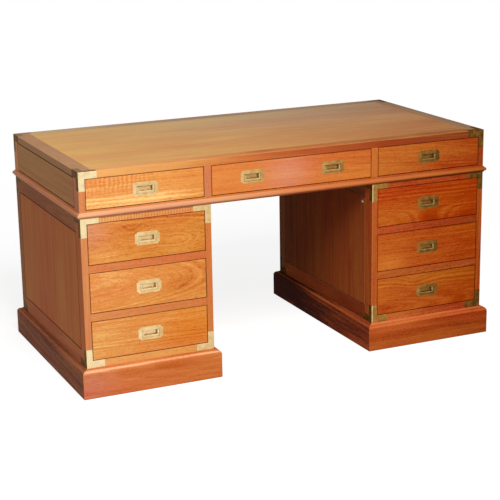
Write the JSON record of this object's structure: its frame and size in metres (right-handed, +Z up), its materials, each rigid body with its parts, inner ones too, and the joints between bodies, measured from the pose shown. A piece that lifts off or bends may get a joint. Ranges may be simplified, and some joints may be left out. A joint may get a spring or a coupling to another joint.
{
  "type": "campaign desk",
  "caption": "Pedestal campaign desk of panelled wood with a flush framed top, drawers over a kneehole, brass corner brackets and recessed swinging pulls.",
  "frame": {"origin": "on the floor under the middle of the desk", "axes": "+X along the desk, to the sitter's right hand; +Y from the drawer fronts towards the back; +Z up"},
  "size_m": [1.564, 0.802, 0.762],
  "materials": {
    "top_field": "satin lacquered teak, grain along the desk",
    "top_border": "satin lacquered teak",
    "carcass_frame": "satin lacquered teak",
    "flush_panel": "satin lacquered teak veneer, upright grain",
    "drawer_front": "satin lacquered teak veneer, grain along the front",
    "moulding": "satin lacquered teak moulding",
    "inside_wood": "bare planed hardwood",
    "brass": "brushed, lightly aged brass"
  },
  "bodies": {
    "carcass": {"top_panel": "top_field", "top_frame_rails": "top_border", "top_box_side_frames": "carcass_frame", "top_box_side_panels": "flush_panel", "top_box_back_frame": "carcass_frame", "top_box_back_panels": "flush_panel", "top_box_dividers": "carcass_frame", "top_box_base_frame": "carcass_frame", "top_box_dust_panels": "inside_wood", "waist_moulding": "moulding", "left_pedestal_side_frames": "carcass_frame", "right_pedestal_side_frames": "carcass_frame", "pedestal_side_panels": "flush_panel", "pedestal_back_frames": "carcass_frame", "pedestal_back_panels": "flush_panel", "pedestal_drawer_rails": "carcass_frame", "pedestal_runners": "inside_wood", "pedestal_boards": "inside_wood", "left_plinth": "moulding", "right_plinth": "moulding", "corner_brackets": "brass", "kneehole_stud": "brass", "locating_tenons": "inside_wood"},
    "top_left_drawer": {"top_left_drawer_front": "drawer_front", "top_left_drawer_box": "inside_wood", "top_left_pull_plate": "brass"},
    "top_left_bail": {"top_left_bail": "brass"},
    "top_centre_drawer": {"top_centre_drawer_front": "drawer_front", "top_centre_drawer_box": "inside_wood", "top_centre_pull_plate": "brass"},
    "top_centre_left_bail": {"top_centre_left_bail": "brass"},
    "top_centre_right_bail": {"top_centre_right_bail": "brass"},
    "top_right_drawer": {"top_right_drawer_front": "drawer_front", "top_right_drawer_box": "inside_wood", "top_right_pull_plate": "brass"},
    "top_right_bail": {"top_right_bail": "brass"},
    "left_upper_drawer": {"left_upper_drawer_front": "drawer_front", "left_upper_drawer_box": "inside_wood", "left_upper_pull_plate": "brass"},
    "left_upper_bail": {"left_upper_bail": "brass"},
    "left_middle_drawer": {"left_middle_drawer_front": "drawer_front", "left_middle_drawer_box": "inside_wood", "left_middle_pull_plate": "brass"},
    "left_middle_bail": {"left_middle_bail": "brass"},
    "left_lower_drawer": {"left_lower_drawer_front": "drawer_front", "left_lower_drawer_box": "inside_wood", "left_lower_pull_plate": "brass"},
    "left_lower_bail": {"left_lower_bail": "brass"},
    "right_upper_drawer": {"right_upper_drawer_front": "drawer_front", "right_upper_drawer_box": "inside_wood", "right_upper_pull_plate": "brass"},
    "right_upper_bail": {"right_upper_bail": "brass"},
    "right_middle_drawer": {"right_middle_drawer_front": "drawer_front", "right_middle_drawer_box": "inside_wood", "right_middle_pull_plate": "brass"},
    "right_middle_bail": {"right_middle_bail": "brass"},
    "right_lower_drawer": {"right_lower_drawer_front": "drawer_front", "right_lower_drawer_box": "inside_wood", "right_lower_pull_plate": "brass"},
    "right_lower_bail": {"right_lower_bail": "brass"}
  },
  "joints": [
    {"name": "top_left_drawer_slide", "type": "slide", "parent": "carcass", "child": "top_left_drawer", "axis": [0, -1, 0], "range_m": [0, 0.48]},
    {"name": "top_left_bail_pivot", "type": "hinge", "parent": "top_left_drawer", "child": "top_left_bail", "pos_m": [-0.534, -0.3794, 0.691], "axis": [-1, 0, 0], "range_deg": [0, 90]},
    {"name": "top_centre_drawer_slide", "type": "slide", "parent": "carcass", "child": "top_centre_drawer", "axis": [0, -1, 0], "range_m": [0, 0.48]},
    {"name": "top_centre_left_bail_pivot", "type": "hinge", "parent": "top_centre_drawer", "child": "top_centre_left_bail", "pos_m": [-0.152, -0.3794, 0.691], "axis": [-1, 0, 0], "range_deg": [0, 90]},
    {"name": "top_centre_right_bail_pivot", "type": "hinge", "parent": "top_centre_drawer", "child": "top_centre_right_bail", "pos_m": [0.152, -0.3794, 0.691], "axis": [-1, 0, 0], "range_deg": [0, 90]},
    {"name": "top_right_drawer_slide", "type": "slide", "parent": "carcass", "child": "top_right_drawer", "axis": [0, -1, 0], "range_m": [0, 0.48]},
    {"name": "top_right_bail_pivot", "type": "hinge", "parent": "top_right_drawer", "child": "top_right_bail", "pos_m": [0.534, -0.3794, 0.691], "axis": [-1, 0, 0], "range_deg": [0, 90]},
    {"name": "left_upper_drawer_slide", "type": "slide", "parent": "carcass", "child": "left_upper_drawer", "axis": [0, -1, 0], "range_m": [0, 0.48]},
    {"name": "left_upper_bail_pivot", "type": "hinge", "parent": "left_upper_drawer", "child": "left_upper_bail", "pos_m": [-0.534, -0.3794, 0.5245], "axis": [-1, 0, 0], "range_deg": [0, 90]},
    {"name": "left_middle_drawer_slide", "type": "slide", "parent": "carcass", "child": "left_middle_drawer", "axis": [0, -1, 0], "range_m": [0, 0.48]},
    {"name": "left_middle_bail_pivot", "type": "hinge", "parent": "left_middle_drawer", "child": "left_middle_bail", "pos_m": [-0.534, -0.3794, 0.36], "axis": [-1, 0, 0], "range_deg": [0, 90]},
    {"name": "left_lower_drawer_slide", "type": "slide", "parent": "carcass", "child": "left_lower_drawer", "axis": [0, -1, 0], "range_m": [0, 0.48]},
    {"name": "left_lower_bail_pivot", "type": "hinge", "parent": "left_lower_drawer", "child": "left_lower_bail", "pos_m": [-0.534, -0.3794, 0.1975], "axis": [-1, 0, 0], "range_deg": [0, 90]},
    {"name": "right_upper_drawer_slide", "type": "slide", "parent": "carcass", "child": "right_upper_drawer", "axis": [0, -1, 0], "range_m": [0, 0.48]},
    {"name": "right_upper_bail_pivot", "type": "hinge", "parent": "right_upper_drawer", "child": "right_upper_bail", "pos_m": [0.534, -0.3794, 0.5245], "axis": [-1, 0, 0], "range_deg": [0, 90]},
    {"name": "right_middle_drawer_slide", "type": "slide", "parent": "carcass", "child": "right_middle_drawer", "axis": [0, -1, 0], "range_m": [0, 0.48]},
    {"name": "right_middle_bail_pivot", "type": "hinge", "parent": "right_middle_drawer", "child": "right_middle_bail", "pos_m": [0.534, -0.3794, 0.36], "axis": [-1, 0, 0], "range_deg": [0, 90]},
    {"name": "right_lower_drawer_slide", "type": "slide", "parent": "carcass", "child": "right_lower_drawer", "axis": [0, -1, 0], "range_m": [0, 0.48]},
    {"name": "right_lower_bail_pivot", "type": "hinge", "parent": "right_lower_drawer", "child": "right_lower_bail", "pos_m": [0.534, -0.3794, 0.1975], "axis": [-1, 0, 0], "range_deg": [0, 90]}
  ]
}
